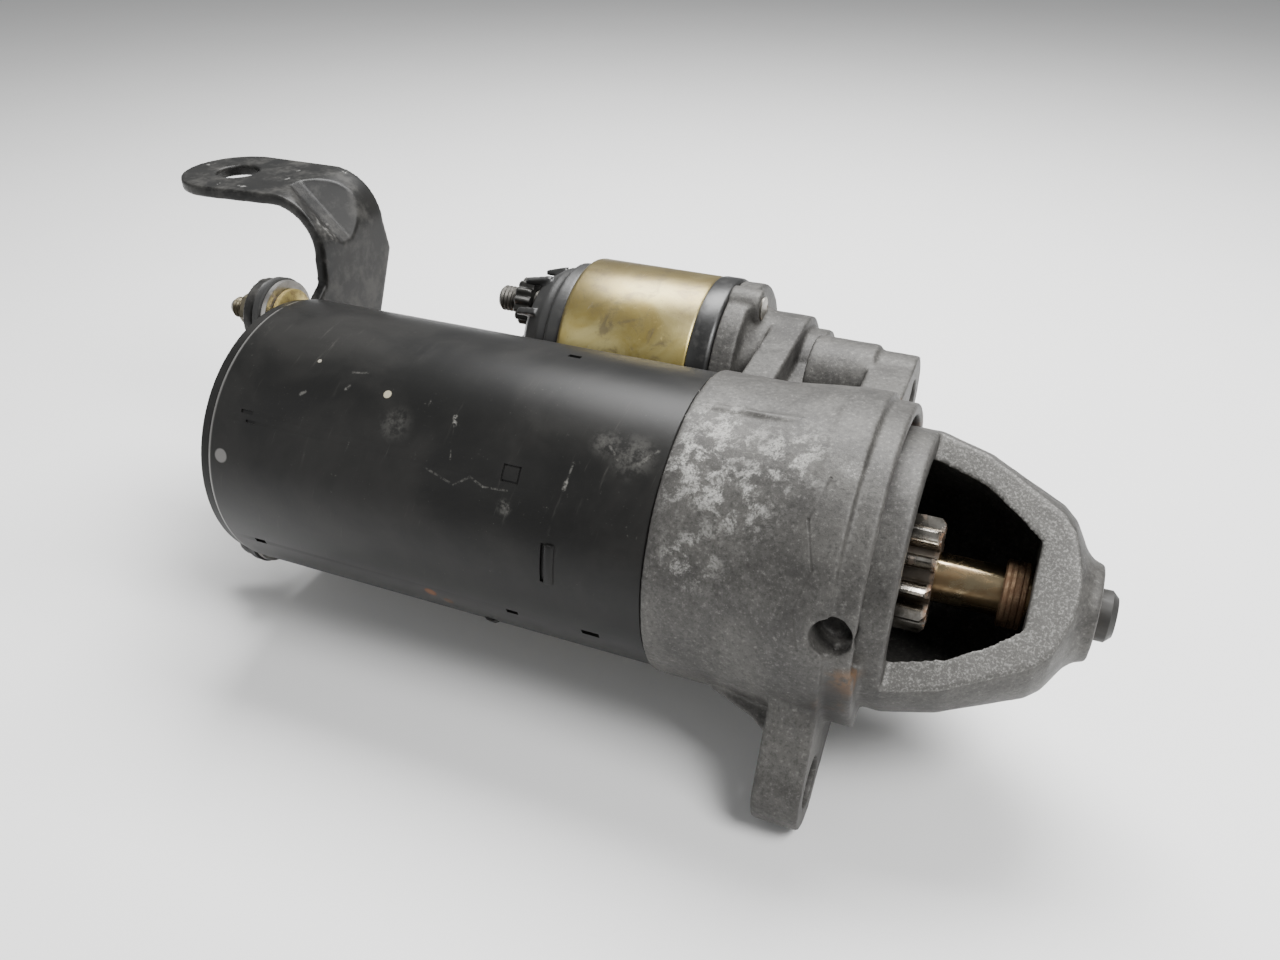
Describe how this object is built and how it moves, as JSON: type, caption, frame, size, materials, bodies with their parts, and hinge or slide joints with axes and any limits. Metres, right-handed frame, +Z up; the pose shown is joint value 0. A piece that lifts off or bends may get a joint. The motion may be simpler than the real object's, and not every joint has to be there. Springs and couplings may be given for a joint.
{
  "type": "starter motor",
  "caption": "Geared starter motor with a side solenoid, an open cast nose with its pinion, and a bent rear support bracket.",
  "frame": {"origin": "on the motor axis, in the plane of the mounting flange", "axes": "+X along the motor axis towards the nose, +Z up, square to the rear bracket's tab, +Y towards the solenoid"},
  "size_m": [0.2909, 0.1394, 0.1086],
  "materials": {
    "black_paint": "satin black paint, scratched",
    "cast_alloy": "as-cast, oxidised",
    "zinc_gold": "yellow zinc plate",
    "black_rubber": "matt",
    "black_plastic": "moulded",
    "bright_steel": "ground",
    "dark_steel": "oiled, tarnished",
    "copper": "bare copper",
    "bronze": "sintered bronze",
    "ferrite": "ground ferrite",
    "carbon": "pressed carbon",
    "grey_plastic": "moulded"
  },
  "bodies": {
    "casing": {"yoke": "black_paint", "magnets": "ferrite", "drive_end_housing": "cast_alloy", "rear_cover": "black_paint", "rear_bush": "bronze", "brush_plate": "black_plastic", "brushes": "carbon", "brush_springs": "bright_steel", "through_bolts": "zinc_gold", "stud_washers": "bright_steel", "isolator_rings": "black_rubber", "stud_nuts": "zinc_gold", "rear_bracket": "black_paint", "motor_link": "copper", "link_eye": "copper", "link_grommet": "black_rubber", "solenoid_can": "zinc_gold", "solenoid_seal": "black_rubber", "pole_plate": "dark_steel", "solenoid_core": "dark_steel", "coil_bobbin": "black_plastic", "solenoid_coil": "copper", "solenoid_cap": "black_plastic", "terminal_studs": "copper", "terminal_nuts": "zinc_gold", "signal_blade": "bright_steel", "solenoid_screws": "bright_steel", "ring_gear": "bright_steel", "gear_plate": "bright_steel", "bearing_plate": "bright_steel", "carrier_bush": "bronze", "nose_bush": "bronze", "lever_pin": "bright_steel", "return_spring": "bright_steel"},
    "armature": {"armature_shaft": "bright_steel", "armature_core": "dark_steel", "armature_winding": "copper", "rear_winding": "copper", "commutator": "copper", "sun_gear": "bright_steel"},
    "output": {"drive_shaft": "bright_steel", "planet_pins": "bright_steel", "stop_ring": "dark_steel", "stop_circlip": "dark_steel"},
    "planet_1": {"planet_gear_1": "bright_steel"},
    "planet_2": {"planet_gear_2": "bright_steel"},
    "planet_3": {"planet_gear_3": "bright_steel"},
    "clutch": {"clutch_sleeve": "dark_steel", "clutch_shell": "dark_steel", "clutch_cover": "dark_steel", "clutch_rollers": "bright_steel"},
    "pinion_drive": {"pinion": "bright_steel"},
    "lever": {"shift_lever": "grey_plastic"},
    "core_plunger": {"plunger": "bright_steel"},
    "contact": {"contact_bridge": "copper", "contact_rod": "bright_steel", "contact_spring": "bright_steel"}
  },
  "joints": [
    {"name": "armature_spin", "type": "hinge", "parent": "casing", "child": "armature", "pos_m": [0, 0, 0], "axis": [1, 0, 0], "continuous": true},
    {"name": "output_spin", "type": "hinge", "parent": "casing", "child": "output", "pos_m": [0, 0, 0], "axis": [1, 0, 0], "continuous": true},
    {"name": "planet_1_spin", "type": "hinge", "parent": "output", "child": "planet_1", "pos_m": [-0.0587, 0.01755, 0], "axis": [1, 0, 0], "continuous": true},
    {"name": "planet_2_spin", "type": "hinge", "parent": "output", "child": "planet_2", "pos_m": [-0.0587, -0.00877, 0.0152], "axis": [1, 0, 0], "continuous": true},
    {"name": "planet_3_spin", "type": "hinge", "parent": "output", "child": "planet_3", "pos_m": [-0.0587, -0.00877, -0.0152], "axis": [1, 0, 0], "continuous": true},
    {"name": "clutch_slide", "type": "slide", "parent": "output", "child": "clutch", "axis": [1, 0, 0], "range_m": [0, 0.0145], "stiffness_N_per_m": 500, "springref_m": -0.02},
    {"name": "pinion_overrun", "type": "hinge", "parent": "clutch", "child": "pinion_drive", "pos_m": [0, 0, 0], "axis": [1, 0, 0], "continuous": true},
    {"name": "lever_swing", "type": "hinge", "parent": "casing", "child": "lever", "pos_m": [-0.0223, 0.04247, 0.00673], "axis": [0, -0.1564, 0.9877], "range_deg": [0, 19.4]},
    {"name": "plunger_pull", "type": "slide", "parent": "casing", "child": "core_plunger", "axis": [-1, 0, 0], "range_m": [0, 0.0078], "deforming": ["return_spring"]},
    {"name": "contact_push", "type": "slide", "parent": "casing", "child": "contact", "axis": [-1, 0, 0], "range_m": [0, 0.0025]}
  ],
  "couplings": [
    {"joint": "output_spin", "follows": "armature_spin", "ratio": 0.23077},
    {"joint": "planet_1_spin", "follows": "armature_spin", "ratio": -0.65934},
    {"joint": "planet_2_spin", "follows": "armature_spin", "ratio": -0.65934},
    {"joint": "planet_3_spin", "follows": "armature_spin", "ratio": -0.65934},
    {"joint": "lever_swing", "follows": "clutch_slide", "rad_per_m": 23.256},
    {"joint": "plunger_pull", "follows": "clutch_slide", "ratio": 0.5302},
    {"joint": "contact_push", "follows": "clutch_slide", "ratio": 0.1655}
  ]
}
